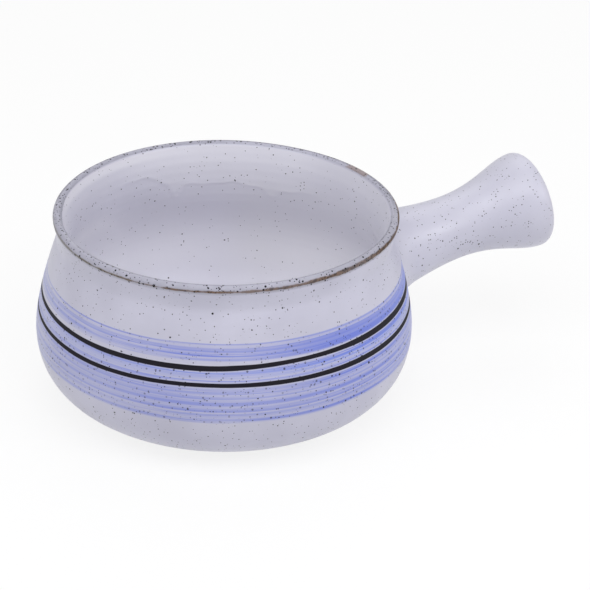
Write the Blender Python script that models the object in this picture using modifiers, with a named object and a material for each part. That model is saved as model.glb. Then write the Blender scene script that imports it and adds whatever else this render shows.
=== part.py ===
"""Skillet bowl: a stoneware soup bowl with one flared stick handle.

The bowl is turned, with an everted round lip, a full belly and a low foot
ring. The handle is a hollow cast piece, waisted in the middle and flared to a
round end with a small vent. It is luted to the bowl's wall, and the band of
slip that seals the joint is worked into a cove all round the handle's root.
"""
import math

import bpy
from mathutils import Vector

# Driving dimensions, in metres
BOWL_H = 0.0741
BELLY_R = 0.0700
BELLY_Z = 0.0282
LIP_R = 0.0628
LIP_T = 0.0032
LIP_FLARE = 0.00135
LIP_H = 0.0111
WALL_T = 0.0044
FLOOR_T = 0.0052
FOOT_R = 0.0450
FOOT_H = 0.0024
FOOT_W = 0.0055
FOOT_ROUND = 0.0008
HANDLE_TILT = math.radians(10.5)
HANDLE_Z = 0.0315
HANDLE_L = 0.0622
HANDLE_ROOT_R = 0.0160
HANDLE_WAIST_R = 0.0124
HANDLE_WAIST_L = 0.0256
HANDLE_END_R = 0.0189
HANDLE_END_ROUND = 0.0041
HANDLE_WALL_T = 0.0040
VENT_R = 0.0025
JOINT_L = 0.0050
JOINT_SPREAD = 0.0036
JOINT_EDGE = 0.0005
GAP = 0.0003
BOWL_STEPS = 72
HANDLE_STEPS = 48

# Derived positions
FLOOR_Z = FOOT_H + FLOOR_T
SHOULDER_R = LIP_R - LIP_FLARE
SHOULDER_Z = BOWL_H - LIP_H
LIP_Z = BOWL_H - LIP_T / 2
ROOT_S = BELLY_R - WALL_T
END_S = BELLY_R + HANDLE_L - HANDLE_END_ROUND
WAIST_S = BELLY_R + HANDLE_WAIST_L

# Reach of the handle's end along X, and the middle of the whole length
REACH_X = (END_S * math.cos(HANDLE_TILT)
           + (HANDLE_END_R - HANDLE_END_ROUND) * math.sin(HANDLE_TILT)
           + HANDLE_END_ROUND)
MIDDLE_X = (REACH_X - BELLY_R) / 2


def bezier(a, b, c, d, n):
    """Points 1 to n of a cubic curve from a to d; a itself is left out."""
    points = []
    for i in range(1, n + 1):
        t = i / n
        u = 1 - t
        w = (u * u * u, 3 * t * u * u, 3 * t * t * u, t * t * t)
        points.append(tuple(sum(k * p[j] for k, p in zip(w, (a, b, c, d))) for j in (0, 1)))
    return points


def arc(centre, radius, start, end, n):
    """Points 1 to n of an arc, from start to end in degrees; the first is left out."""
    points = []
    for i in range(1, n + 1):
        angle = math.radians(start + (end - start) * i / n)
        points.append((centre[0] + radius * math.cos(angle), centre[1] + radius * math.sin(angle)))
    return points


def offset(points, distance):
    """An open profile moved to the left of its own direction by a distance."""
    moved = []
    for i, p in enumerate(points):
        before = Vector(points[max(i - 1, 0)])
        after = Vector(points[min(i + 1, len(points) - 1)])
        along = (after - before).normalized()
        moved.append((p[0] - along.y * distance, p[1] + along.x * distance))
    return moved


def outer_wall():
    """The outside of the bowl, from the lip's outermost point down to the foot."""
    lip = (LIP_R, LIP_Z)
    shoulder = (SHOULDER_R, SHOULDER_Z)
    belly = (BELLY_R, BELLY_Z)
    foot = (FOOT_R + 2.5 * FOOT_ROUND, FOOT_H * 0.75)
    rise = SHOULDER_Z - BELLY_Z
    lean = (BELLY_R - SHOULDER_R) / rise * 1.45
    neck = 0.27 * LIP_H
    wall = [lip]
    wall += bezier(lip, (LIP_R, LIP_Z - LIP_H * 0.16), (SHOULDER_R - lean * neck, SHOULDER_Z + neck), shoulder, 5)
    wall += bezier(shoulder, (SHOULDER_R + lean * 0.03 * rise, SHOULDER_Z - 0.03 * rise),
                   (BELLY_R, BELLY_Z + 0.34 * rise), belly, 7)
    wall += bezier(belly, (BELLY_R, 0.17 * BELLY_Z), (foot[0] + 3.1 * FOOT_ROUND, foot[1] + 0.5 * FOOT_ROUND), foot, 10)
    return wall


def inner_wall():
    """The inside of the bowl, from the centre of the floor up to the lip's inner side."""
    flat = 0.88 * FOOT_R
    side = BELLY_R - WALL_T
    lip_in = LIP_R - LIP_T
    neck = (SHOULDER_R - WALL_T * 0.93, SHOULDER_Z - LIP_H * 0.25)
    high = BELLY_Z + WALL_T * 0.18
    wall = [(0, FLOOR_Z), (flat, FLOOR_Z)]
    wall += bezier((flat, FLOOR_Z), (flat + 0.73 * (side - flat), FLOOR_Z),
                   (side, FLOOR_Z + 0.31 * (high - FLOOR_Z)), (side, high), 8)
    rise = neck[1] - high
    wall += bezier((side, high), (side, high + 0.40 * rise), (neck[0], neck[1] - 0.42 * rise), neck, 7)
    wall += bezier(neck, (neck[0], neck[1] + 0.45 * (LIP_Z - neck[1])),
                   (lip_in, LIP_Z - 0.35 * (LIP_Z - neck[1])), (lip_in, LIP_Z), 5)
    return wall


def foot_ring():
    """The foot ring and the recessed base inside it, ending on the axis."""
    low = FOOT_ROUND
    inner = FOOT_R - FOOT_W
    return [(FOOT_R + 0.5 * low, FOOT_H * 0.45), (FOOT_R, low), (FOOT_R - low, 0),
            (inner + low, 0), (inner, low), (inner - low, FOOT_H), (0, FOOT_H)]


def handle_outside():
    """Outside of the handle as (distance from the bowl's axis, radius), root to end."""
    root = (ROOT_S - 0.5 * HANDLE_ROOT_R, HANDLE_ROOT_R + 0.55 * HANDLE_WALL_T)
    waist = (WAIST_S, HANDLE_WAIST_R)
    end = (END_S, HANDLE_END_R)
    back = WAIST_S - root[0]
    front = END_S - WAIST_S
    side = [root]
    side += bezier(root, (root[0] + 0.28 * back, HANDLE_ROOT_R),
                   (WAIST_S - 0.36 * back, HANDLE_WAIST_R), waist, 8)
    side += bezier(waist, (WAIST_S + 0.5 * front, HANDLE_WAIST_R),
                   (END_S - 0.25 * front, HANDLE_END_R), end, 9)
    return side


def handle_profile():
    """Closed section of the hollow handle: outside, round end, vent and hollow."""
    outside = handle_outside()
    face = END_S + HANDLE_END_ROUND
    inside_end = face - HANDLE_WALL_T
    corner = HANDLE_END_R - HANDLE_WALL_T
    end = arc((END_S, HANDLE_END_R - HANDLE_END_ROUND), HANDLE_END_ROUND, 90, 0, 5)
    hollow = [(s, r - HANDLE_WALL_T) for s, r in outside if s < END_S - 0.75 * HANDLE_WALL_T]
    tip = bezier((inside_end, VENT_R), (inside_end, corner), (END_S, corner), hollow[-1], 5)
    return outside + end + [(face, VENT_R), (inside_end, VENT_R)] + tip + hollow[-2::-1]


def joint_profile():
    """Closed section of the slip round the root: it coves from the wall to the handle."""
    rim_s = BELLY_R + JOINT_L
    seat = offset([p for p in handle_outside() if p[0] < rim_s], GAP)
    rim = (rim_s - JOINT_EDGE, seat[-1][1])
    seat = [p for p in seat if p[0] < rim_s - 0.4 * JOINT_L] + [rim]
    edge = (rim[0], rim[1] + JOINT_EDGE)
    base = (ROOT_S + JOINT_EDGE, HANDLE_ROOT_R + JOINT_SPREAD)
    cove = bezier(edge, (edge[0] - 0.45 * JOINT_L, edge[1] + 0.02 * JOINT_L),
                  (base[0] + 0.25 * JOINT_L, base[1] - 0.45 * JOINT_SPREAD), base, 6)
    below = (seat[0][0], base[1] + 3 * JOINT_EDGE)
    return seat + [edge] + cove + [below]


def add(mesh_name, mesh, collection, parent):
    """A mesh object in a collection, under a parent."""
    item = bpy.data.objects.new(mesh_name, mesh)
    collection.objects.link(item)
    item.parent = parent
    return item


def turned(name, points, closed, steps, axis, collection, parent):
    """A profile of (radius, height) turned about Z, or (distance, radius) about X."""
    if axis == "Z":
        corners = [(r, 0, z) for r, z in points]
    else:
        corners = [(s, 0, r) for s, r in points]
    edges = [(i, i + 1) for i in range(len(points) - 1)]
    if closed:
        edges.append((len(points) - 1, 0))
    mesh = bpy.data.meshes.new(name)
    mesh.from_pydata(corners, edges, [])
    item = add(name, mesh, collection, parent)
    screw = item.modifiers.new("turn", "SCREW")
    screw.axis = axis
    screw.steps = steps
    screw.render_steps = steps
    screw.use_merge_vertices = True
    screw.merge_threshold = 0.00001
    screw.use_smooth_shade = True
    return item


def cut(item, cutter):
    """Takes the cutter's volume out of a piece."""
    boolean = item.modifiers.new("cut", "BOOLEAN")
    boolean.operation = "DIFFERENCE"
    boolean.solver = "EXACT"
    boolean.object = cutter
    return item


def glaze(name, colour, roughness):
    """A fired surface with its own colour and roughness."""
    material = bpy.data.materials.new(name)
    material.use_nodes = True
    shader = material.node_tree.nodes["Principled BSDF"]
    shader.inputs["Base Color"].default_value = (*colour, 1)
    shader.inputs["Roughness"].default_value = roughness
    shader.inputs["Metallic"].default_value = 0
    return material


for old in list(bpy.data.objects):
    bpy.data.objects.remove(old)

parts = bpy.data.collections.new("skillet_bowl")
cutters = bpy.data.collections.new("skillet_bowl_cutters")
for group in (parts, cutters):
    bpy.context.scene.collection.children.link(group)

# The bowl's axis stands back from the origin, which is under the middle of the whole length
centre = bpy.data.objects.new("bowl_axis", None)
centre.location = (-MIDDLE_X, 0, 0)
parts.objects.link(centre)

# The handle's own axis meets the bowl's axis and climbs towards the free end
stick = bpy.data.objects.new("handle_axis", None)
stick.parent = centre
stick.location = (0, 0, HANDLE_Z)
stick.rotation_euler = (0, -HANDLE_TILT, 0)
parts.objects.link(stick)

lip_round = arc((LIP_R - LIP_T / 2, LIP_Z), LIP_T / 2, 180, 0, 6)[:-1]
section = inner_wall() + lip_round + outer_wall() + foot_ring()
bowl = turned("bowl", section, False, BOWL_STEPS, "Z", parts, centre)
bowl.data.materials.append(glaze("speckled_glaze", (0.56, 0.55, 0.65), 0.25))

# The bowl's outside, grown by the gap: it shapes the root of whatever is luted on
skin = offset(outer_wall(), GAP)
over, under = BOWL_H * 1.25, -BOWL_H * 0.25
block = [(0, over), (skin[0][0], over)] + skin + [(FOOT_R, under), (0, under)]
wall_cutter = turned("wall_cutter", block, False, BOWL_STEPS, "Z", cutters, centre)
wall_cutter.hide_render = True
wall_cutter.display_type = "WIRE"

handle = turned("handle", handle_profile(), True, HANDLE_STEPS, "X", parts, stick)
handle.data.materials.append(glaze("handle_glaze", (0.55, 0.54, 0.63), 0.27))
cut(handle, wall_cutter)

joint = turned("handle_joint", joint_profile(), True, HANDLE_STEPS, "X", parts, stick)
joint.data.materials.append(glaze("joint_glaze", (0.55, 0.54, 0.63), 0.27))
cut(joint, wall_cutter)
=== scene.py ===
"""Skillet bowl: a speckled stoneware soup bowl with one flared stick handle.

The turned bowl and the luted handle are fine surfaces worked out on grids, and
the glaze, its iron specks, the brushed blue bands, the two black lines and the
brown lip are node materials on them.
"""
import math
from types import SimpleNamespace

import bpy
import numpy as np
from mathutils import Matrix, Vector


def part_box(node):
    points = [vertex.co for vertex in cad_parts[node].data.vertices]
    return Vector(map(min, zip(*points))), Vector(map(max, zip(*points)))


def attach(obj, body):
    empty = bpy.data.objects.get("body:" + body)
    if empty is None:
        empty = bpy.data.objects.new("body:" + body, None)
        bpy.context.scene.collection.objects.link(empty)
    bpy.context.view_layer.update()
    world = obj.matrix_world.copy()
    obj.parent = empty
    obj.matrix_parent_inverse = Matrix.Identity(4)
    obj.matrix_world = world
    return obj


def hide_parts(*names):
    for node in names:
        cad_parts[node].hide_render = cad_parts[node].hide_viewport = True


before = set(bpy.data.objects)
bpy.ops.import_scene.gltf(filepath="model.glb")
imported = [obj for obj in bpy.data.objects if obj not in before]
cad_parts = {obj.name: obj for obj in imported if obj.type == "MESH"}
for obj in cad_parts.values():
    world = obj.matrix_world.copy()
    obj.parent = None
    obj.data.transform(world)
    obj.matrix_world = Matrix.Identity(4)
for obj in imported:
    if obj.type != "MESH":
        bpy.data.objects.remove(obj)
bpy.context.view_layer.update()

# Sizes of the bowl, in metres, on its own axis; LIP_START is where the lip's round begins inside, in degrees
BOWL_H = 0.0741
BELLY_R = 0.0700
BELLY_Z = 0.0282
LIP_R = 0.0628
LIP_T = 0.0032
LIP_H = 0.0111
LIP_OUT = 0.00135
LIP_Z = BOWL_H - LIP_T / 2
LIP_START = 160.0
WALL_T = 0.0044
FOOT_R = 0.0450
FOOT_H = 0.0024
FOOT_W = 0.0055
FOOT_ROUND = 0.0008
FOOT_FLARE = 0.0020
FOOT_COVE = 0.0016
FOOT_TURN = (FOOT_R + FOOT_FLARE, FOOT_H * 0.75)
FLOOR_T = 0.0052
FLOOR_Z = FOOT_H + FLOOR_T
SHOULDER_R = LIP_R - LIP_OUT
SHOULDER_Z = BOWL_H - LIP_H
NECK_FILL = 0.00025
POLE_R = 0.0040
BOWL_COLUMNS = 336

# Sizes of the handle, in metres; distances along it, named _S, run from the bowl's axis. It is a little oval,
# from one distance to another, and FACE_RINGS spaces the rings of its flat end
HANDLE_TILT = math.radians(10.5)
TILT_COS, TILT_SIN = math.cos(HANDLE_TILT), math.sin(HANDLE_TILT)
HANDLE_Z = 0.0315
HANDLE_L = 0.0622
HANDLE_ROOT_R = 0.0160
HANDLE_WAIST_R = 0.0124
HANDLE_END_R = 0.0189
HANDLE_OVAL = 0.003
OVAL_S = (0.078, 0.10)
ROOT_FLARE = 0.0022
ROOT_DEEP = 0.0022
ROOT_S = BELLY_R - WALL_T
WAIST_L = 0.0256
WAIST_S = BELLY_R + WAIST_L
END_ROUND = 0.0041
END_CLEAR = 0.00003
FACE_RINGS = (0.010, 0.006)
END_S = BELLY_R + HANDLE_L - END_ROUND - END_CLEAR
HANDLE_COLUMNS = 192

# The cove that lutes the handle to the wall: its reach, how far it sinks into the wall, and its spread at the
# handle's sides with what the top has more and the bottom less
COVE_REACH = 0.0062
COVE_SUNK = 0.0004
COVE_SPREAD = 0.0030
COVE_TOP = 0.0012
COVE_ROWS = 30
BODY_ROWS = 96

# The vent in the handle's end: its radius, its rounded edge across and along, and the hollow behind it as
# depth and radius, closed at its last depth
VENT_R = 0.0025
VENT_ROUND = 0.0012
VENT_ROUND_DEEP = 0.0010
VENT_HOLLOW = ((0.0030, VENT_R), (0.0042, VENT_R), (0.0046, 0.0050), (0.0080, 0.0060), (0.0100, 0.0020))
VENT_DEEP = 0.0104

# The second dip of glaze inside: the height of its edge and how much higher that is at the far left, waves
# on it as height, count and start, tongues as angle, depth and width, the glaze's thickness and how far below
# and above the edge it grows to that, and the bead's thickness and width
DIP_Z = 0.0570
DIP_RAISED = 0.0066
DIP_WAVES = ((0.0006, 5, 0.6), (0.0004, 11, 2.0), (0.0003, 23, 1.0), (0.00022, 41, 0.3))
DIP_TONGUES = ((86.3, 0.0050, 2.2), (48.4, 0.0040, 3.0), (12, 0.0036, 3.0), (337, 0.0052, 4.0),
               (300, 0.0030, 2.4), (262, 0.0058, 3.6), (228, 0.0034, 2.6), (152, 0.0070, 3.2))
DIP_T = 0.00016
DIP_BELOW = 0.0003
DIP_ABOVE = 0.0005
BEAD_T = 0.00008
BEAD_W = 0.0006

# What the wheel and the kiln left, in metres: the wall out of round and shrunk, turning lines and their
# pitch, and the belly drawn in, with the height, the spread and the side of that; the radii and the heights
# over which these begin, off the flat floor and above the foot
OUT_OF_ROUND = 0.00008
SHRUNK = 0.00014
TURNING_LINES = 0.000018
TURNING_PITCH = 0.0036
DRAWN_IN = 0.0001
DRAWN_Z = 0.029
DRAWN_H = 0.013
DRAWN_SIDE = 335
OFF_FLOOR = (0.02, 0.05)
OFF_FOOT = (0.004, 0.012)

# The rim, which begins between two heights: pulled out in two places and low in one, as size, and middle and
# width in degrees, and wavy
RIM_HEIGHTS = (0.058, 0.071)
RIM_PULLED = ((0.00085, 327, 32), (0.00025, 100, 28))
RIM_LOW = (0.0003, 40, 24)
RIM_WAVE = 0.00008

# A lip turn that is past everything, for the poles inside and below
FAR_TURN = 9000.0

# The bowl's axis stands back from the origin, under the middle of the whole length
BOWL_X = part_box("bowl")[0][0] + BELLY_R

# Camera, read from the photograph's outline: place, and its right and up directions
CAMERA_AT = (-0.34289, -0.72519, 0.45106)
CAMERA_RIGHT = (0.90896, -0.41649, 0.01778)
CAMERA_UP = (0.17867, 0.42775, 0.88606)
CAMERA_LENS = 146.44
CAMERA_SENSOR = 36.0
PHOTO_PIXELS = 590
HALF_PIXEL = 0.5 / PHOTO_PIXELS


# Shapes; in a curve, bare shares are the lengths of its handles

def bezier(a, b, c, d, n):
    """n points of the cubic a(1-t)^3 + 3b t(1-t)^2 + 3c t^2(1-t) + d t^3, for t above 0 up to 1."""
    t = (np.arange(1, n + 1) / n)[:, None]
    a, b, c, d = (np.array(p, float) for p in (a, b, c, d))
    return a * (1 - t) ** 3 + 3 * b * t * (1 - t) ** 2 + 3 * c * t * t * (1 - t) + d * t ** 3


def arc(centre, radius, start, end, n):
    """n points centre + radius (cos, sin) of an angle that runs from start to end, in degrees. The start
    itself is left out."""
    angle = np.radians(start + (end - start) * np.arange(1, n + 1) / n)
    return np.column_stack([centre[0] + radius * np.cos(angle), centre[1] + radius * np.sin(angle)])


def smooth(value, low, high):
    """0 below low, 1 above high and 3t^2 - 2t^3 between."""
    t = np.clip((value - low) / (high - low), 0, 1)
    return t * t * (3 - 2 * t)


def bulge(angle, middle, wide):
    """exp(-(away / wide)^2), where away is how far an angle is from the middle one, in degrees."""
    away = (np.degrees(angle) - middle + 180) % 360 - 180
    return np.exp(-(away / wide) ** 2)


def outer_wall(fine=1):
    """Outside of the bowl, lip to foot: an everted lip, a leaning wall, a full belly and the turn to the
    foot. The glaze fills the hollow under the lip a little."""
    rise = SHOULDER_Z - BELLY_Z
    hollow = SHOULDER_R + NECK_FILL
    lean = (BELLY_R - hollow) / rise * 1.45
    neck = 0.27 * LIP_H
    lip, shoulder, belly = (LIP_R, LIP_Z), (hollow, SHOULDER_Z), (BELLY_R, BELLY_Z)
    return np.vstack([
        [lip],
        bezier(lip, (LIP_R, LIP_Z - LIP_H * 0.16), (hollow - lean * neck, SHOULDER_Z + neck), shoulder,
               18 * fine),
        bezier(shoulder, (hollow + lean * 0.03 * rise, SHOULDER_Z - 0.03 * rise),
               (BELLY_R, BELLY_Z + 0.34 * rise), belly, 40 * fine),
        bezier(belly, (BELLY_R, 0.19 * BELLY_Z), (FOOT_TURN[0] + 0.0025, FOOT_TURN[1] + 0.0004), FOOT_TURN,
               32 * fine),
    ])


def inner_wall():
    """Inside of the bowl, from the floor's centre up to the lip: a flat floor, a round turn and a wall that
    flares until it leans out as the lip's round does where they meet."""
    flat, side = 0.88 * FOOT_R, BELLY_R - WALL_T
    neck = (SHOULDER_R - WALL_T * 0.93, SHOULDER_Z - LIP_H * 0.25)
    high = BELLY_Z + WALL_T * 0.18
    rise = neck[1] - high
    turn = math.radians(LIP_START)
    top = (LIP_R - LIP_T / 2 + LIP_T / 2 * math.cos(turn), LIP_Z + LIP_T / 2 * math.sin(turn))
    flare = 0.42 * (top[1] - neck[1])
    return np.vstack([
        np.linspace((POLE_R, FLOOR_Z), (flat, FLOOR_Z), 8),
        bezier((flat, FLOOR_Z), (flat + 0.73 * (side - flat), FLOOR_Z),
               (side, FLOOR_Z + 0.31 * (high - FLOOR_Z)), (side, high), 20),
        bezier((side, high), (side, high + 0.40 * rise), (neck[0], neck[1] - 0.42 * rise), neck, 80),
        bezier(neck, (neck[0], neck[1] + flare),
               (top[0] - flare * math.tan(math.pi - turn), top[1] - flare), top, 24),
    ])


def foot_ring():
    """The foot ring's outside, rounded tread and inside, and the recessed base up to near the axis."""
    low, inner = FOOT_ROUND, FOOT_R - FOOT_W
    return np.vstack([
        bezier(FOOT_TURN, (FOOT_R + 0.4 * FOOT_FLARE, FOOT_H * 0.6), (FOOT_R, FOOT_H * 0.6),
               (FOOT_R, low), 6),
        arc((FOOT_R - low, low), low, 0, -90, 5),
        arc((inner + low, low), low, -90, -180, 5),
        bezier((inner, low), (inner, FOOT_H * 0.8), (inner - 0.25 * FOOT_COVE, FOOT_H),
               (inner - FOOT_COVE, FOOT_H), 5),
        np.linspace((inner - 5 * FOOT_COVE, FOOT_H), (POLE_R, FOOT_H), 6),
    ])


def drip_edge(angle):
    """The second glaze dip's lower edge inside: its height, a wavy line with tongues where the glaze ran, and
    how strongly it stands out."""
    turn = np.degrees(angle) % 360
    edge = DIP_Z + DIP_RAISED * smooth(turn, 86, 103) * (1 - smooth(turn, 178, 215))
    for high, count, start in DIP_WAVES:
        edge = edge + high * np.sin(count * angle + start)
    for middle, deep, wide in DIP_TONGUES:
        edge = edge - deep * bulge(angle, middle, wide)
    strong = 0.15 + 0.85 * smooth(turn, 24, 42) * (1 - smooth(turn, 100, 114))
    strong = strong + 0.55 * smooth(turn, 220, 250)
    return edge, strong * (1 - 0.45 * smooth(turn, 330, 360))


def solid_mesh(name, rings, first, last):
    """Closed surface from rings of points, shape (rows, columns, 3), with a pole before the first ring and
    one after the last. If its signed volume, the sum of a . (b x c), is negative, its faces are turned."""
    rows, columns = rings.shape[:2]
    points = np.vstack([rings.reshape(-1, 3), [first, last]])
    r, c = np.meshgrid(np.arange(rows - 1), np.arange(columns), indexing="ij")
    after = (c + 1) % columns
    here, below = r * columns, (r + 1) * columns
    quads = np.stack([here + c, here + after, below + after, below + c], -1).reshape(-1, 4)
    c = np.arange(columns)
    after = (c + 1) % columns
    top = np.column_stack([np.full(columns, rows * columns), after, c])
    end = (rows - 1) * columns
    bottom = np.column_stack([np.full(columns, rows * columns + 1), end + c, end + after])
    tris = np.vstack([top, bottom])
    corners = points[np.vstack([quads[:, :3], quads[:, [0, 2, 3]], tris])]
    volume = np.einsum("ij,ij->i", corners[:, 0], np.cross(corners[:, 1], corners[:, 2])).sum()
    if volume < 0:
        quads, tris = quads[:, ::-1], tris[:, ::-1]
    mesh = bpy.data.meshes.new(name)
    mesh.vertices.add(len(points))
    mesh.vertices.foreach_set("co", points.ravel())
    loops = np.concatenate([quads.ravel(), tris.ravel()]).astype(np.int32)
    mesh.loops.add(len(loops))
    mesh.loops.foreach_set("vertex_index", loops)
    starts = np.concatenate([np.arange(len(quads)) * 4, len(quads) * 4 + np.arange(len(tris)) * 3])
    mesh.polygons.add(len(starts))
    mesh.polygons.foreach_set("loop_start", starts.astype(np.int32))
    mesh.update(calc_edges=True)
    mesh.shade_smooth()
    piece = bpy.data.objects.new(name, mesh)
    bpy.context.scene.collection.objects.link(piece)
    return piece


def point_values(piece, name, rows, columns, first, last):
    """A number on each point of a ringed surface: one per ring, or a grid, and one at each pole."""
    grid = rows if rows.ndim == 2 else np.repeat(rows[:, None], columns, 1)
    values = np.concatenate([grid.ravel(), [first, last]]).astype(np.float32)
    piece.data.attributes.new(name, "FLOAT", "POINT").data.foreach_set("value", values)


def make_bowl():
    """The bowl: its profile turned about Z, a point being (r cos angle, r sin angle, z), a little out of
    round and with the run edge of a second dip inside."""
    inside, outside, foot = inner_wall(), outer_wall(), foot_ring()
    lip = arc((LIP_R - LIP_T / 2, LIP_Z), LIP_T / 2, LIP_START, 0, 24)[:-1]
    profile = np.vstack([inside, lip, outside, foot])
    angle = np.linspace(0, 2 * np.pi, BOWL_COLUMNS, endpoint=False)[None, :]
    radius, height = profile[:, :1], profile[:, 1:]
    high = np.clip(height / BOWL_H, 0, 1)

    # Turn of the lip's surface from its crest, in degrees, outwards positive
    length = np.concatenate([[0], np.cumsum(np.hypot(*np.diff(profile, axis=0).T))])
    crest = length[len(inside) - 1] + math.radians(LIP_START - 90) * LIP_T / 2
    turn = np.degrees((length - crest) / (LIP_T / 2))

    # A second dip of glaze thickens the upper inside down to a wavy edge
    is_inside = (np.arange(len(profile)) < len(inside))[:, None]
    edge, strong = drip_edge(angle)
    thick = np.where(is_inside, strong * smooth(height, edge - DIP_BELOW, edge + DIP_ABOVE), 0)
    bead = np.where(is_inside, strong * np.exp(-((height - edge - DIP_ABOVE) / BEAD_W) ** 2), 0)

    # The wall isn't quite round, keeps faint turning lines and is drawn in on the handle's side
    wall = OUT_OF_ROUND * np.cos(2 * angle - 1.1) + OUT_OF_ROUND / 2 * np.cos(3 * angle + 0.8) - SHRUNK
    lines = TURNING_LINES * np.sin(2 * np.pi * height / TURNING_PITCH + angle) * smooth(height, *OFF_FOOT)
    faces = 1 + np.cos(angle - math.radians(DRAWN_SIDE))
    slim = DRAWN_IN * np.exp(-((height - DRAWN_Z) / DRAWN_H) ** 2) * faces

    # The rim isn't quite true: it is pulled out beside the handle and lies low behind it
    rim = smooth(height, *RIM_HEIGHTS)
    pulled = sum(size * bulge(angle, middle, wide) for size, middle, wide in RIM_PULLED) * rim
    low = RIM_LOW[0] * bulge(angle, *RIM_LOW[1:]) * rim
    r = radius + (wall * high + lines - slim) * smooth(radius, *OFF_FLOOR) + pulled
    r = r - DIP_T * thick - BEAD_T * bead
    z = height - RIM_WAVE * (1 + np.sin(2 * angle + 0.4)) * high ** 4 - low
    rings = np.stack([BOWL_X + r * np.cos(angle), r * np.sin(angle), z], -1)
    piece = solid_mesh("bowl_glazed", rings, (BOWL_X, 0, FLOOR_Z), (BOWL_X, 0, FOOT_H))
    point_values(piece, "lip_turn", turn, BOWL_COLUMNS, -FAR_TURN, FAR_TURN)
    point_values(piece, "second_dip", thick, BOWL_COLUMNS, 0.0, 0.0)
    return piece


def handle_radius(s):
    """The handle's outside radius at a distance from the bowl's axis: in to the waist and out to the end."""
    root = (ROOT_S - 0.5 * HANDLE_ROOT_R, HANDLE_ROOT_R + ROOT_FLARE)
    waist, end = (WAIST_S, HANDLE_WAIST_R), (END_S, HANDLE_END_R)
    back, front = WAIST_S - root[0], END_S - WAIST_S
    side = np.vstack([
        [root],
        bezier(root, (root[0] + 0.28 * back, HANDLE_ROOT_R), (WAIST_S - 0.36 * back, HANDLE_WAIST_R),
               waist, 160),
        bezier(waist, (WAIST_S + 0.5 * front, HANDLE_WAIST_R), (END_S - 0.25 * front, HANDLE_END_R),
               end, 160),
    ])
    return np.interp(s, side[:, 0], side[:, 1])


def wall_distance(radius, around):
    """Distance along the handle's axis at which a line beside it, at a radius and an angle round it, meets
    the wall. The line's x is the wall's radius at its height, less what its y takes off; a few rounds settle
    the height."""
    wall = outer_wall(4)[::-1]
    across = radius * np.cos(around)
    over = radius * np.sin(around)
    s = np.full(np.broadcast(radius, around).shape, BELLY_R)
    for _ in range(14):
        r = np.interp(HANDLE_Z + s * TILT_SIN + over * TILT_COS, wall[:, 1], wall[:, 0])
        s = (np.sqrt(np.maximum(r * r - across * across, 0)) + over * TILT_SIN) / TILT_COS
    return s


def handle_end():
    """Distance and radius of the rings that close the handle: a quarter circle, the flat face, the vent's
    edge as a quarter ellipse and the hollow behind it."""
    face, mouth = END_S + END_ROUND, VENT_R + VENT_ROUND
    rim = HANDLE_END_R - END_ROUND
    turn = np.radians(np.linspace(0, 90, 9)[1:])
    return np.vstack([
        arc((END_S, rim), END_ROUND, 90, 6, 16),
        bezier((face, rim), (face, FACE_RINGS[0]), (face, FACE_RINGS[1]), (face, mouth), 14),
        np.column_stack([face - VENT_ROUND_DEEP * (1 - np.cos(turn)), mouth - VENT_ROUND * np.sin(turn)]),
        [(face - deep, radius) for deep, radius in VENT_HOLLOW],
    ])


def on_handle_axis(s):
    """The point of the handle's axis at a distance from the bowl's axis."""
    return BOWL_X + s * TILT_COS, 0, HANDLE_Z + s * TILT_SIN


def make_handle():
    """The handle: rings round a climbing axis, from a cove that grows out of the wall to the vented end.

    In the cove the radius is the handle's plus a spread that falls as a quarter ellipse with the distance
    from the wall. Past it the radius is the handle's own, and the rings straighten towards the flat end.
    """
    around = np.linspace(0, 2 * np.pi, HANDLE_COLUMNS, endpoint=False)[None, :]
    rise = (1 - np.cos(np.linspace(0, np.pi / 2, COVE_ROWS)))[:, None]
    away = COVE_REACH * rise
    spread = COVE_SPREAD + COVE_TOP * np.sin(around)
    extra = spread * (1 - np.sqrt(np.maximum(1 - (1 - rise) ** 2, 0)))
    sunk = COVE_SUNK * (1 - smooth(rise, 0, 0.3))

    # The cove's radius and its distance from the wall depend on each other, so a few rounds settle both
    cove_s = BELLY_R + away + 0 * around
    for _ in range(6):
        cove_r = handle_radius(cove_s) + extra
        cove_s = wall_distance(cove_r, around) + away - sunk
    run = np.linspace(0, 1, BODY_ROWS)[1:, None]
    body_s = cove_s[-1:] + (END_S - cove_s[-1:]) * run
    end = handle_end()
    back_r = 0.8 * cove_r[:1]
    back_s = wall_distance(back_r, around) - ROOT_DEEP
    s = np.vstack([back_s, cove_s, body_s, end[:, :1] + 0 * around])
    r = np.vstack([back_r, cove_r, handle_radius(body_s), end[:, 1:] + 0 * around])
    r = r * (1 + HANDLE_OVAL * (np.cos(2 * around + 0.7) - 1) * smooth(s, *OVAL_S))
    x = BOWL_X + s * TILT_COS - r * np.sin(around) * TILT_SIN
    z = HANDLE_Z + s * TILT_SIN + r * np.sin(around) * TILT_COS
    rings = np.stack([x, r * np.cos(around), z], -1)
    return solid_mesh("handle_glazed", rings, on_handle_axis(float(back_s.mean())),
                      on_handle_axis(END_S + END_ROUND - VENT_DEEP))


# Node helpers

def put(tree, kind, inputs=None, **settings):
    """A node with its settings, and its inputs set to values or linked to sockets."""
    node = tree.nodes.new(kind)
    for key, value in settings.items():
        setattr(node, key, value)
    for key, value in (inputs or {}).items():
        socket = node.inputs[key]
        if isinstance(value, bpy.types.NodeSocket):
            tree.links.new(value, socket)
        else:
            socket.default_value = value
    return node


def calc(tree, operation, a, b=0.5, clamp=False):
    """One step of arithmetic on sockets or numbers."""
    return put(tree, "ShaderNodeMath", {0: a, 1: b}, operation=operation, use_clamp=clamp).outputs[0]


def times(tree, value, *others):
    """Values multiplied."""
    for other in others:
        value = calc(tree, "MULTIPLY", value, other)
    return value


def plus(tree, value, *others):
    """Values added."""
    for other in others:
        value = calc(tree, "ADD", value, other)
    return value


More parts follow.
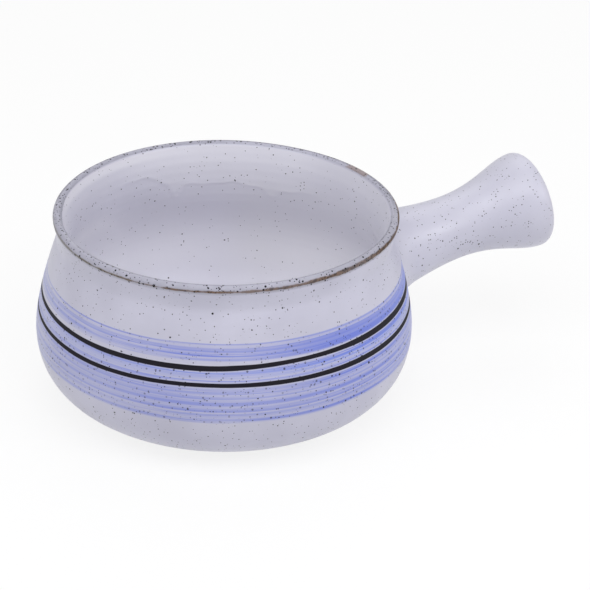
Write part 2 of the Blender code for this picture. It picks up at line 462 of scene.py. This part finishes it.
def minus(tree, value, other):
    """One value less another."""
    return calc(tree, "SUBTRACT", value, other)


def most(tree, value, *others):
    """The largest of some values."""
    for other in others:
        value = calc(tree, "MAXIMUM", value, other)
    return value


def ease(tree, value, low, high, start=0.0, end=1.0):
    """A value taken smoothly from one level to another between two limits."""
    limits = {"Value": value, "From Min": low, "From Max": high, "To Min": start, "To Max": end}
    return put(tree, "ShaderNodeMapRange", limits, interpolation_type="SMOOTHSTEP").outputs["Result"]


def blend(tree, amount, a, b):
    """Two colours mixed by an amount."""
    return put(tree, "ShaderNodeMix", {0: amount, 6: a, 7: b}, data_type="RGBA").outputs[2]


def noise(tree, vector, scale, detail=2.0, rough=0.5):
    """Smooth noise from 0 to 1."""
    return put(tree, "ShaderNodeTexNoise", {"Vector": vector, "Scale": scale, "Detail": detail,
                                            "Roughness": rough}).outputs["Fac"]


def stretched(tree, place, by):
    """Coordinates multiplied by three factors."""
    return put(tree, "ShaderNodeVectorMath", {0: place, 1: by}, operation="MULTIPLY").outputs[0]


def along(tree, place, direction):
    """Distance along a direction, the dot product with it."""
    node = put(tree, "ShaderNodeVectorMath", {0: place, 1: direction}, operation="DOT_PRODUCT")
    return node.outputs["Value"]


def attribute(tree, name):
    """A number that the piece's points carry."""
    return put(tree, "ShaderNodeAttribute", attribute_name=name).outputs["Fac"]


def srgb(red, green, blue):
    """A colour given as screen values from 0 to 255, all above 10, as linear light with full cover."""
    return tuple(((value / 255 + 0.055) / 1.055) ** 2.4 for value in (red, green, blue)) + (1,)


def new_group(name, inputs, outputs):
    """An empty node group with named sockets; gives its tree, its input node and its output node."""
    tree = bpy.data.node_groups.new(name, "ShaderNodeTree")
    for label, kind, value in inputs:
        socket = tree.interface.new_socket(name=label, in_out="INPUT", socket_type=kind)
        if value is not None:
            socket.default_value = value
    for label, kind in outputs:
        tree.interface.new_socket(name=label, in_out="OUTPUT", socket_type=kind)
    return tree, tree.nodes.new("NodeGroupInput").outputs, tree.nodes.new("NodeGroupOutput").inputs


def use(tree, group, inputs):
    """A node group placed in a tree with its own values."""
    return put(tree, "ShaderNodeGroup", inputs, node_tree=group).outputs


def new_material(name):
    """A new material; gives it, its node tree and its Principled BSDF."""
    material = bpy.data.materials.new(name)
    material.use_nodes = True
    return material, material.node_tree, material.node_tree.nodes["Principled BSDF"]


# Colours and strengths of the finishes
PALE = srgb(195, 194, 210)
DEEP = srgb(186, 185, 201)
# The handle's glaze is the bowl's, set a little lighter as painted light
HANDLE_PALE_LIT = srgb(197, 196, 211)
HANDLE_DEEP_LIT = srgb(188, 187, 202)
BLUE = srgb(92, 112, 206)
SKY = srgb(108, 128, 214)
BLACK = srgb(15, 12, 23)
BROWN = srgb(112, 91, 78)
DARK_BROWN = srgb(60, 49, 44)
OLIVE = srgb(112, 106, 98)
WARM_GREY = srgb(140, 124, 120)
LINER = srgb(226, 225, 233)
LINER_WARM = srgb(227, 226, 231)
THIN_GREY = srgb(155, 154, 168)
SEAM_GREY = srgb(136, 135, 149)
IRON = srgb(16, 14, 18)
RAW_CLAY = srgb(168, 150, 130)
DARK_CLAY = srgb(140, 122, 104)
BOWL_SHINE = 0.20
HANDLE_SHINE = 0.45
DRY_ROUGHER = 0.35
SKIN_STRENGTH = 0.35
SKIN_DEPTH = 0.00025

# Iron specks in the glaze, fine, middle and large: cells in a metre, share of the cells that hold a speck,
# its largest radius in cells and how soft its edge is; then the lip's, whose share varies, and the bands',
# and how many times the share the handle has; last, how far a speck's edge wanders
GLAZE_SPECKS = ((1000.0, 0.34, 0.245, 0.10), (430.0, 0.20, 0.150, 0.05), (210.0, 0.13, 0.122, 0.05))
LIP_SPECKS = {"Cells": 900.0, "Size": 0.42, "Softness": 0.2}
BAND_SPECKS = {"Cells": 760.0, "Share": 0.60, "Size": 0.335, "Softness": 0.15}
HANDLE_SPECKS = 1.3
SPECK_WANDER = (0.00022, 0.00022, 0.00022)

# Directions on the table: to the photograph's right, towards its front, and across the lip's warm patch
TO_RIGHT = (0.905, -0.425, 0.0)
TO_FRONT = (-0.427, -0.904, 0.0)
ACROSS_PATCH = (-0.20, 0.98, 0.0)

# Blue brushwork, bottom to top: height in millimetres and how strongly the blue covers there.
# Below the lower black line, then between and above the lines at the front, then the same at the right
LOW_BRUSH = ((24.10, 0.0), (24.60, 0.46), (25.00, 0.58), (25.70, 0.56), (26.20, 0.50), (26.45, 0.30),
             (26.75, 0.34), (27.00, 0.52), (27.60, 0.60), (28.10, 0.48), (28.35, 0.18), (28.65, 0.20),
             (28.90, 0.50), (29.60, 0.54), (30.20, 0.48), (30.60, 0.32), (31.05, 0.22), (31.35, 0.44),
             (31.90, 0.54), (32.50, 0.52), (32.90, 0.42), (33.35, 0.32), (33.70, 0.40), (34.00, 0.54),
             (34.45, 0.38), (35.00, 0.32), (35.35, 0.46), (36.00, 0.62), (36.60, 0.56), (37.30, 0.40),
             (38.40, 0.42))
HIGH_BRUSH = ((38.60, 0.45), (39.60, 0.50), (40.10, 0.58), (40.40, 0.50), (40.60, 0.16), (40.90, 0.18),
              (41.10, 0.38), (41.80, 0.36), (42.30, 0.42), (42.90, 0.54), (43.80, 0.64), (44.60, 0.60),
              (45.00, 0.05), (46.80, 0.05), (47.10, 0.12), (47.35, 0.50), (47.70, 0.48), (48.05, 0.34),
              (48.50, 0.52), (48.95, 0.76), (49.25, 0.72), (49.60, 0.46), (50.00, 0.26),
              (50.50, 0.58), (50.90, 0.44), (51.60, 0.44), (51.90, 0.14), (52.45, 0.12),
              (52.80, 0.54), (53.05, 0.52), (53.25, 0.0))
RIGHT_BRUSH = ((38.60, 0.50), (39.80, 0.58), (40.30, 0.58), (40.60, 0.30), (41.00, 0.26), (41.40, 0.46),
               (42.20, 0.48), (43.00, 0.64), (44.60, 0.68), (45.20, 0.10), (46.80, 0.12), (47.20, 0.56),
               (47.70, 0.70), (48.80, 0.72), (49.30, 0.64), (49.80, 0.58), (50.40, 0.66), (51.20, 0.60),
               (51.70, 0.58), (51.95, 0.24), (52.40, 0.26), (52.75, 0.55), (53.05, 0.55), (53.35, 0.0))
BRUSH_SPLIT = 38.5
PALE_EDGE = 0.40


# Shared effects

def iron_specks_group():
    """Iron specks: spots round the points of a cell pattern, each with its own size, in a share of cells."""
    tree, given, out = new_group(
        "iron_specks",
        (("Place", "NodeSocketVector", None), ("Cells", "NodeSocketFloat", 400.0),
         ("Share", "NodeSocketFloat", 0.5), ("Size", "NodeSocketFloat", 0.3),
         ("Softness", "NodeSocketFloat", 0.5)),
        (("Speck", "NodeSocketFloat"),))
    wander = put(tree, "ShaderNodeTexNoise", {"Vector": given["Place"], "Scale": 1900.0, "Detail": 1.0})
    wander = stretched(tree, wander.outputs["Color"], SPECK_WANDER)
    place = put(tree, "ShaderNodeVectorMath", {0: wander, 1: given["Place"]}, operation="ADD").outputs[0]
    cell = put(tree, "ShaderNodeTexVoronoi", {"Vector": place, "Scale": given["Cells"], "Randomness": 1.0})
    chance = put(tree, "ShaderNodeSeparateColor", {"Color": cell.outputs["Color"]}).outputs
    size = times(tree, ease(tree, chance["Green"], 0.0, 1.0, 0.35, 1.0), given["Size"])
    core = times(tree, size, minus(tree, 1.0, given["Softness"]))
    spot = ease(tree, cell.outputs["Distance"], core, size, 1.0, 0.0)
    there = calc(tree, "LESS_THAN", chance["Red"], given["Share"])
    tree.links.new(times(tree, spot, there), out["Speck"])
    return tree


def speckled_glaze_group(specks):
    """The glaze itself: a pale milky tone that clouds a little, with fine, middle and large iron specks."""
    tree, given, out = new_group(
        "speckled_glaze",
        (("Place", "NodeSocketVector", None), ("Pale", "NodeSocketColor", (1, 1, 1, 1)),
         ("Deep", "NodeSocketColor", (1, 1, 1, 1)), ("Specks", "NodeSocketFloat", 1.0)),
        (("Color", "NodeSocketColor"), ("Speck", "NodeSocketFloat"), ("Height", "NodeSocketFloat"),
         ("Gloss", "NodeSocketFloat")))
    cloud = noise(tree, given["Place"], 32.0, 3.0, 0.55)
    tone = blend(tree, ease(tree, cloud, 0.3, 0.72), given["Pale"], given["Deep"])
    mottle = noise(tree, given["Place"], 620.0, 2.0, 0.6)
    tone = blend(tree, ease(tree, mottle, 0.35, 0.75, 0.0, 0.16), tone, given["Deep"])
    sizes = [use(tree, specks, {"Place": given["Place"], "Cells": cells, "Size": size, "Softness": softness,
                                "Share": times(tree, given["Specks"], share)})["Speck"]
             for cells, share, size, softness in GLAZE_SPECKS]
    speck = most(tree, *sizes)
    skin = noise(tree, given["Place"], 95.0)
    peel = times(tree, noise(tree, given["Place"], 700.0, 1.0), 0.18)
    height = minus(tree, plus(tree, skin, peel), times(tree, speck, 0.10))
    tree.links.new(tone, out["Color"])
    tree.links.new(speck, out["Speck"])
    tree.links.new(height, out["Height"])
    tree.links.new(ease(tree, cloud, 0.25, 0.75, 0.30, 0.40), out["Gloss"])
    return tree


def bowl_place(tree):
    """Object coordinates measured from the bowl's axis."""
    place = put(tree, "ShaderNodeTexCoord").outputs["Object"]
    return put(tree, "ShaderNodeMapping", {"Vector": place, "Location": (-BOWL_X, 0, 0)}).outputs["Vector"]


def raise_skin(tree, shader, height):
    """A fine relief of the glaze's skin on a shader."""
    bump = put(tree, "ShaderNodeBump", {"Strength": SKIN_STRENGTH, "Distance": SKIN_DEPTH, "Height": height})
    tree.links.new(bump.outputs["Normal"], shader.inputs["Normal"])


# The bowl's finishes. Limits on side, front and z are in metres, those on lip_turn in degrees from the
# lip's crest, and those on a band's height in millimetres

def bowl_layout(tree):
    """What the bowl's finishes are laid out by: places, the lip's turn, masks of the inside, the outside and
    the lip, and noises: wander and swell for what is painted, ragged for the lip."""
    place = bowl_place(tree)
    x, _, z = put(tree, "ShaderNodeSeparateXYZ", {"Vector": place}).outputs
    side, front = along(tree, place, TO_RIGHT), along(tree, place, TO_FRONT)
    lip_turn = attribute(tree, "lip_turn")
    wide_left = times(tree, ease(tree, side, -0.058, -0.034, 36.0, 0.0),
                      ease(tree, front, -0.014, 0.004, 0.2, 1.1))
    inner_turn = plus(tree, lip_turn, wide_left)
    tall = stretched(tree, place, (1.0, 1.0, 3.0))
    return SimpleNamespace(
        place=place, x=x, z=z, millimetres=times(tree, z, 1000.0), side=side, front=front, lip_turn=lip_turn,
        outside=ease(tree, lip_turn, 150.0, 190.0),
        inside=ease(tree, lip_turn, -95.0, -62.0, 1.0, 0.0),
        on_lip=times(tree, ease(tree, inner_turn, -66.0, -50.0), ease(tree, lip_turn, 165.0, 125.0)),
        wander=minus(tree, noise(tree, tall, 22.0), 0.5),
        swell=times(tree, minus(tree, noise(tree, tall, 34.0, 3.0), 0.5), 0.5),
        ragged=noise(tree, place, 260.0, 3.0, 0.6))


def speck_share(tree, at):
    """How many specks the glaze shows: more on the lip and low on the wall, fewer inside."""
    few = ease(tree, at.z, 0.044, 0.062, 0.28, 0.68)
    many = plus(tree, times(tree, at.on_lip, 0.9), ease(tree, at.z, 0.020, 0.027, 1.15, 1.0))
    return times(tree, many, ease(tree, at.inside, 0.0, 1.0, 1.0, few))


def inside_liner(tree, at, colour):
    """The paler glaze inside: it pools low down, a paleness that is partly painted light lifting the shaded
    inside, thins towards the neck and is thicker above the second dip's edge. At the upper left a painted
    highlight makes it paler just under the lip and a little darker below that."""
    # Low down the liner shows more: pooled glaze, and partly painted light that lifts the shade inside the
    # bowl
    pooled_and_painted_light = times(tree, ease(tree, at.z, 0.010, 0.026, 0.45, 0.95),
                   ease(tree, at.z, 0.034, 0.060, 1.0, 0.62))
    # Painted highlight at the upper left: the liner is paler in a strip just under the lip and a little
    # darker below it
    upper_left = times(tree, ease(tree, at.side, -0.012, -0.040), ease(tree, at.z, 0.046, 0.058),
                       ease(tree, at.front, 0.006, -0.010))
    painted_lip_highlight = ease(tree, at.lip_turn, -235.0, -150.0, 0.34, 0.74)
    pooled_and_painted_light = plus(tree, pooled_and_painted_light, times(tree, upper_left, minus(tree, painted_lip_highlight, pooled_and_painted_light)))
    low_left = times(tree, ease(tree, at.side, -0.038, -0.050, 0.0, 0.35), ease(tree, at.z, 0.060, 0.050))
    pooled_and_painted_light = calc(tree, "ADD", pooled_and_painted_light, low_left, clamp=True)
    warm = times(tree, ease(tree, at.side, -0.008, 0.014), ease(tree, at.z, 0.066, 0.054))
    liner = blend(tree, warm, LINER, LINER_WARM)
    colour = blend(tree, times(tree, at.inside, pooled_and_painted_light), colour, liner)
    return blend(tree, times(tree, attribute(tree, "second_dip"), 0.25), colour, liner)


def brush_ramp(tree, height, strokes):
    """Cover of the blue by height: a ramp whose stops are the strokes, from the first to the last height."""
    low, high = strokes[0][0], strokes[-1][0]
    share = put(tree, "ShaderNodeMapRange", {"Value": height, "From Min": low, "From Max": high})
    ramp = put(tree, "ShaderNodeValToRGB", {"Fac": share.outputs["Result"]})
    stops = ramp.color_ramp.elements
    while len(stops) < len(strokes):
        stops.new(0.5)
    for stop, (level, cover) in zip(stops, strokes):
        stop.position = (level - low) / (high - low)
        stop.color = (cover, cover, cover, 1)
    return ramp.outputs["Color"]


def blue_bands(tree, at, colour):
    """The brushed blue: strokes that sink a little towards both sides, wander round the pot and break into
    streaks. Gives the colour, the blue's cover and the height that its strokes follow."""
    sunk = plus(tree, ease(tree, at.side, -0.066, -0.005, 0.90, 0.0),
                ease(tree, at.side, 0.040, 0.066, 0.0, 0.5))
    sunk = times(tree, sunk, ease(tree, at.millimetres, 36.0, 45.0))
    height = plus(tree, at.millimetres, sunk, times(tree, at.wander, 0.6))
    low = brush_ramp(tree, height, LOW_BRUSH)
    high = blend(tree, ease(tree, at.side, 0.004, 0.046), brush_ramp(tree, height, HIGH_BRUSH),
                 brush_ramp(tree, height, RIGHT_BRUSH))
    cover = blend(tree, calc(tree, "GREATER_THAN", height, BRUSH_SPLIT), low, high)

    # Streaks and bare hairs along the strokes, fewer where the brush was loaded, above the lines at the right
    streak = noise(tree, stretched(tree, at.place, (7.0, 7.0, 1250.0)), 1.0, 2.0, 0.6)
    fine = noise(tree, stretched(tree, at.place, (9.0, 9.0, 1050.0)), 1.0, 1.0)
    hair = calc(tree, "ABSOLUTE", minus(tree, fine, 0.5))
    streaky = times(tree, ease(tree, streak, 0.32, 0.68, 0.74, 1.24), ease(tree, hair, 0.0, 0.055, 0.45, 1.0))
    loaded = times(tree, ease(tree, at.side, 0.018, 0.046, 0.0, 0.75), ease(tree, height, 45.5, 47.0))
    streaky = plus(tree, streaky, times(tree, loaded, minus(tree, 1.04, streaky)))

    # The wash is weaker at the left, stronger at the right and uneven all round
    left_wash = ease(tree, height, 37.5, 39.5, 0.82, 0.94)
    washed = times(tree, ease(tree, at.side, -0.045, -0.010, left_wash, 1.04),
                   ease(tree, at.side, 0.020, 0.050, 1.0, 1.08),
                   ease(tree, noise(tree, at.place, 14.0, 1.0), 0.3, 0.7, 0.92, 1.08))
    cover = calc(tree, "MULTIPLY", times(tree, cover, streaky), times(tree, washed, at.outside), clamp=True)
    pigment = blend(tree, ease(tree, height, 44.5, 42.6), BLUE, SKY)
    pigment = blend(tree, ease(tree, height, 42.0, 39.0), pigment, BLUE)
    painted = blend(tree, cover, colour, pigment)
    return blend(tree, at.outside, colour, painted), cover, height


def black_lines(tree, at, colour):
    """Two black lines, each on its own path round the pot, with a width that swells and thins. The blue draws
    back from them and leaves a pale edge. Gives the colour and the black's cover."""
    height = plus(tree, at.millimetres, times(tree, at.wander, 0.3))

    def line(middle, half):
        """A line's cover, from its middle and half its width in millimetres."""
        off = calc(tree, "ABSOLUTE", minus(tree, height, middle))
        return ease(tree, minus(tree, off, plus(tree, at.swell, half)), -0.10, 0.10, 1.0, 0.0)

    def both(more):
        """Both lines' cover, with more added to each half width."""
        return most(tree, line(upper, plus(tree, upper_half, more)),
                    line(lower, plus(tree, lower_half, more)))

    upper = plus(tree, ease(tree, at.side, -0.062, -0.010, 43.95, 44.55),
                 ease(tree, at.side, -0.010, 0.034, 0.0, 1.0))
    lower = plus(tree, ease(tree, at.side, -0.060, -0.002, 37.55, 38.75),
                 ease(tree, at.side, 0.0, 0.062, 0.0, -0.30))
    upper_left = ease(tree, at.side, -0.062, -0.035, 0.84, 0.98)
    upper_half = plus(tree, ease(tree, at.side, 0.004, 0.016, upper_left, 0.78),
                      ease(tree, at.side, 0.026, 0.062, 0.0, 0.34))
    lower_left = ease(tree, at.side, -0.064, -0.045, 0.76, 0.90)
    lower_half = plus(tree, ease(tree, at.front, 0.040, 0.068, lower_left, 0.73),
                      ease(tree, at.side, 0.024, 0.042, 0.0, 0.07))
    drawn_back = times(tree, both(PALE_EDGE), at.outside, ease(tree, at.side, -0.034, -0.006, 0.15, 0.6))
    colour = blend(tree, drawn_back, colour, PALE)
    black = times(tree, both(0.0), at.outside)
    return blend(tree, black, colour, BLACK), black


def thin_lip(tree, at, colour):
    """The lip, where the glaze thins to grey: less in front, and less on the ledge, which is its inner half
    at the far right. Gives the colour and the ledge's mask."""
    worn = ease(tree, minus(tree, at.front, times(tree, at.side, 0.3)), 0.028, 0.058, 1.0, 0.72)
    far_right = times(tree, ease(tree, at.side, -0.012, 0.010), ease(tree, at.front, 0.018, 0.0))
    ledge = times(tree, far_right, ease(tree, at.lip_turn, -4.0, -34.0, 0.0, 0.52))
    thin = times(tree, at.on_lip, worn, ease(tree, at.ragged, 0.25, 0.7, 0.70, 1.0), minus(tree, 1.0, ledge))
    colour = blend(tree, thin, colour, THIN_GREY)

    # A darker grey along the inner edge, mostly in front, and along the outer edge behind
    inner = plus(tree, at.lip_turn, ease(tree, at.front, 0.010, 0.045, 0.0, -34.0))
    seam = times(tree, ease(tree, at.lip_turn, -72.0, -62.0), ease(tree, inner, -24.0, -36.0))
    near = times(tree, ease(tree, plus(tree, at.front, times(tree, at.side, 0.6)), -0.020, 0.030, 0.15, 0.85),
                 ease(tree, at.front, -0.004, 0.022, 0.2, 1.0))
    colour = blend(tree, times(tree, seam, near), colour, SEAM_GREY)
    outer = plus(tree, at.lip_turn, ease(tree, at.side, -0.032, -0.004, 0.0, 18.0))
    far_edge = times(tree, ease(tree, outer, -4.0, 18.0), ease(tree, at.front, 0.004, -0.012, 0.0, 0.9))
    colour = blend(tree, times(tree, far_edge, at.on_lip), colour, SEAM_GREY)

    # One warm patch by the handle
    across = calc(tree, "ABSOLUTE", along(tree, at.place, ACROSS_PATCH))
    across = plus(tree, across, ease(tree, at.ragged, 0.2, 0.8, -0.0016, 0.0016))
    patch = times(tree, ease(tree, across, 0.0048, 0.0062, 0.75, 0.0), calc(tree, "GREATER_THAN", at.x, 0.0))
    return blend(tree, times(tree, patch, at.on_lip), colour, WARM_GREY), ledge


def rust_edge(tree, at, colour):
    """The lip's outer edge, which breaks to iron brown between a ragged start and a ragged finish of the
    lip's turn. The start comes earlier at the right and moves to and fro at the left. Gives the colour and
    the rust's cover."""
    wide_right = times(tree, ease(tree, at.side, 0.046, 0.054), ease(tree, at.front, 0.014, 0.0, 0.0, 22.0))
    late_left = minus(tree, ease(tree, at.side, -0.020, 0.0, 12.0, 0.0),
                      ease(tree, at.side, -0.054, -0.044, 12.0, 0.0))
    start = minus(tree, 84.0, ease(tree, at.side, 0.0, 0.06, 0.0, 25.0))
    start = plus(tree, minus(tree, start, wide_right), late_left)
    start = minus(tree, start, ease(tree, at.side, -0.060, -0.052, 16.0, 0.0))
    start = plus(tree, start, ease(tree, at.ragged, 0.2, 0.8, -12.0, 12.0))
    finish = plus(tree, 117.0, ease(tree, at.ragged, 0.2, 0.8, 10.0, -10.0))
    rust = times(tree, ease(tree, minus(tree, at.lip_turn, start), -14.0, 12.0),
                 ease(tree, minus(tree, at.lip_turn, finish), -8.0, 10.0, 1.0, 0.0),
                 ease(tree, noise(tree, at.place, 30.0, 1.0), 0.25, 0.55, 0.82, 1.0),
                 ease(tree, at.side, -0.062, -0.046, 0.60, 1.0))
    burnt = plus(tree, noise(tree, at.place, 700.0), ease(tree, at.side, 0.010, 0.045, 0.0, 0.09))
    tone = blend(tree, ease(tree, burnt, 0.48, 0.70, 0.0, 0.85), BROWN, DARK_BROWN)
    tone = blend(tree, ease(tree, at.side, -0.050, -0.010, 1.0, 0.0), tone, OLIVE)
    return blend(tree, rust, colour, tone), rust


def bare_foot(tree, at, colour):
    """The foot's tread, wiped clean of glaze. Gives the colour and the clay's mask."""
    bare = times(tree, ease(tree, at.z, 0.0016, 0.0009), at.outside)
    grain = noise(tree, at.place, 500.0, 4.0, 0.7)
    clay = blend(tree, ease(tree, grain, 0.35, 0.7), RAW_CLAY, DARK_CLAY)
    return blend(tree, bare, colour, clay), bare


def bowl_material(specks, glaze):
    """Speckled glaze with brushed blue bands, two black lines, a lip that breaks brown and a bare foot."""
    material, tree, shader = new_material("bowl_banded_glaze")
    at = bowl_layout(tree)
    body = use(tree, glaze, {"Place": at.place, "Pale": PALE, "Deep": DEEP, "Specks": speck_share(tree, at)})
    colour = inside_liner(tree, at, body["Color"])
    colour, cover, band_height = blue_bands(tree, at, colour)
    colour, black = black_lines(tree, at, colour)
    colour, ledge = thin_lip(tree, at, colour)
    colour, rust = rust_edge(tree, at, colour)

    # Specks: the glaze's own, more of them where it is thin on the lip, and more in the blue
    lip_share = ease(tree, at.front, 0.030, -0.005, 0.48, 0.95)
    on_lip = calc(tree, "SUBTRACT", at.on_lip, ledge, clamp=True)
    lip_specks = use(tree, specks, {"Place": at.place, "Share": lip_share, **LIP_SPECKS})["Speck"]
    on_band = times(tree, calc(tree, "MULTIPLY", cover, 1.2, clamp=True),
                    ease(tree, band_height, 44.0, 47.0, 1.0, 0.60))
    band_specks = use(tree, specks, {"Place": at.place, **BAND_SPECKS})["Speck"]
    dark = most(tree, body["Speck"], times(tree, lip_specks, on_lip), times(tree, band_specks, on_band))
    colour = blend(tree, dark, colour, IRON)

    colour, bare = bare_foot(tree, at, colour)
    tree.links.new(colour, shader.inputs["Base Color"])
    shader.inputs["Specular IOR Level"].default_value = BOWL_SHINE
    dry = most(tree, bare, rust, black)
    tree.links.new(plus(tree, body["Gloss"], times(tree, dry, DRY_ROUGHER)), shader.inputs["Roughness"])
    raise_skin(tree, shader, plus(tree, body["Height"], times(tree, black, 0.25), times(tree, cover, 0.10)))
    return material


def handle_material(glaze):
    """The same speckled glaze, plain, as it lies on the handle, in colours a little lighter than the bowl's
    as painted light.
    """
    material, tree, shader = new_material("handle_plain_glaze")
    body = use(tree, glaze, {"Place": bowl_place(tree), "Pale": HANDLE_PALE_LIT, "Deep": HANDLE_DEEP_LIT,
                             "Specks": HANDLE_SPECKS})
    tree.links.new(blend(tree, body["Speck"], body["Color"], IRON), shader.inputs["Base Color"])
    shader.inputs["Specular IOR Level"].default_value = HANDLE_SHINE
    tree.links.new(body["Gloss"], shader.inputs["Roughness"])
    raise_skin(tree, shader, body["Height"])
    return material


iron_specks = iron_specks_group()
speckled_glaze = speckled_glaze_group(iron_specks)

bowl = make_bowl()
bowl.data.materials.append(bowl_material(iron_specks, speckled_glaze))
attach(bowl, "root")
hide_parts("bowl")

handle = make_handle()
handle.data.materials.append(handle_material(speckled_glaze))
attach(handle, "root")
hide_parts("handle", "handle_joint")


# Stage, light and camera: the floor's half width, its colour and how white it looks to the camera, the
# surround's strength, and each lamp's name, place, size and power, all aimed at one point of the pot

FLOOR_HALF = 6
FLOOR_COLOUR = (0.92, 0.92, 0.92, 1)
FLOOR_WHITE = 0.84
WHITE = (1, 1, 1, 1)
SURROUND = 0.22
LAMPS = (("key", (-0.24, -0.57, 1.19), 1.0, 8.5), ("left", (-1.00, -0.10, 0.82), 0.9, 4.8),
         ("right", (0.97, -0.52, 0.54), 0.9, 2.9), ("front right", (0.50, -0.85, 0.75), 0.4, 2.8),
         ("back", (0.32, 0.67, 1.10), 0.9, 3.7))
LAMP_AIM = Vector((0, 0, 0.04))


def white_to_view(tree, under, plain, share):
    """A shader mixed with a share of plain white for the camera, gloss and glass; light sees it as it is."""
    seen = put(tree, "ShaderNodeLightPath").outputs
    rays = most(tree, seen["Is Camera Ray"], seen["Is Glossy Ray"], seen["Is Transmission Ray"])
    white = put(tree, plain, {"Color": WHITE, "Strength": 1.0})
    mixed = put(tree, "ShaderNodeMixShader", {0: times(tree, rays, share), 1: under, 2: white.outputs[0]})
    return mixed.outputs[0]


def make_floor():
    """A wide white floor that keeps the pot's soft shadow."""
    far = FLOOR_HALF
    mesh = bpy.data.meshes.new("floor")
    mesh.from_pydata([(-far, -far, 0), (far, -far, 0), (far, far, 0), (-far, far, 0)], [], [(0, 1, 2, 3)])
    floor = bpy.data.objects.new("floor", mesh)
    bpy.context.scene.collection.objects.link(floor)
    material, tree, shader = new_material("white_floor")
    shader.inputs["Base Color"].default_value = FLOOR_COLOUR
    shader.inputs["Roughness"].default_value = 0.9
    shader.inputs["Specular IOR Level"].default_value = 0.0
    mixed = white_to_view(tree, shader.outputs[0], "ShaderNodeEmission", FLOOR_WHITE)
    tree.links.new(mixed, tree.nodes["Material Output"].inputs["Surface"])
    mesh.materials.append(material)


def make_light():
    """A dim white surround, one broad soft lamp above the front, weaker ones at both sides and behind, and a
    small one at the front right."""
    world = bpy.data.worlds.new("surround")
    world.use_nodes = True
    tree = world.node_tree
    under = tree.nodes["Background"]
    under.inputs["Color"].default_value = WHITE
    under.inputs["Strength"].default_value = SURROUND
    mixed = white_to_view(tree, under.outputs[0], "ShaderNodeBackground", 1.0)
    tree.links.new(mixed, tree.nodes["World Output"].inputs["Surface"])
    bpy.context.scene.world = world
    for name, place, size, power in LAMPS:
        lamp = bpy.data.lights.new(name, "AREA")
        lamp.size = size
        lamp.energy = power
        item = bpy.data.objects.new(name, lamp)
        bpy.context.scene.collection.objects.link(item)
        item.location = place
        item.rotation_euler = (LAMP_AIM - item.location).to_track_quat("-Z", "Y").to_euler()


def make_camera():
    """The photograph's view: a long lens from above, turned a little about its own axis."""
    camera = bpy.data.cameras.new("view")
    camera.lens = CAMERA_LENS
    camera.sensor_width = CAMERA_SENSOR
    camera.shift_x = -HALF_PIXEL
    camera.shift_y = HALF_PIXEL
    item = bpy.data.objects.new("view", camera)
    right, up = np.array(CAMERA_RIGHT), np.array(CAMERA_UP)
    turn = np.eye(4)
    turn[:3] = np.column_stack([right, up, np.cross(right, up), CAMERA_AT])
    item.matrix_world = Matrix(turn.tolist())
    bpy.context.scene.collection.objects.link(item)
    bpy.context.scene.camera = item


make_floor()
make_light()
make_camera()
bpy.context.scene.view_settings.view_transform = "Standard"
